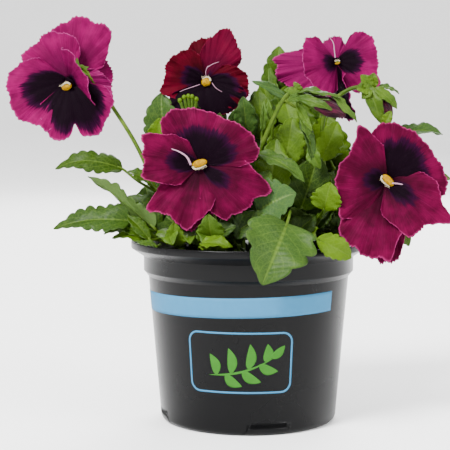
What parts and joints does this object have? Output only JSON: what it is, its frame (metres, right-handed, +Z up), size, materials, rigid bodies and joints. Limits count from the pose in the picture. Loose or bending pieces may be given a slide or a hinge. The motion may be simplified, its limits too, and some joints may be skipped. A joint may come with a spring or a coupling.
{
  "type": "potted pansy",
  "caption": "Flowering pansy with large dark-faced magenta and crimson blooms, buds and toothed leaves, in a round black nursery pot filled with soil.",
  "frame": {"origin": "centre of the pot's flat underside, on the surface that it stands on", "axes": "+Z up, -Y towards the front that most of the blooms face, +X to the right seen from the front"},
  "size_m": [0.2125, 0.1354, 0.1967],
  "materials": {
    "pot_plastic": "satin",
    "soil": "matte",
    "leaf": "satin",
    "magenta_petal": "velvety",
    "crimson_petal": "velvety",
    "bud_petal": "velvety",
    "flower_eye": "matte"
  },
  "bodies": {
    "root": {"pot": "pot_plastic", "soil": "soil", "leafy_stem_left": "leaf", "leafy_stem_left_low": "leaf", "leafy_stem_front_left": "leaf", "leafy_stem_front_right": "leaf", "leafy_stem_right_front": "leaf", "leafy_stem_centre": "leaf", "leafy_stem_right": "leaf", "leafy_stem_up_left": "leaf", "leafy_stem_up_right": "leaf", "leafy_stem_back_left": "leaf", "leafy_stem_back": "leaf", "leafy_stem_back_right": "leaf", "bloom_left_petals": "magenta_petal", "bloom_left_eye": "flower_eye", "bloom_front_petals": "magenta_petal", "bloom_front_eye": "flower_eye", "bloom_top_petals": "crimson_petal", "bloom_top_eye": "flower_eye", "bloom_right_top_petals": "magenta_petal", "bloom_right_top_eye": "flower_eye", "bloom_right_petals": "magenta_petal", "bloom_right_eye": "flower_eye", "bud_left_petals": "bud_petal", "bud_right_petals": "bud_petal"}
  },
  "joints": []
}
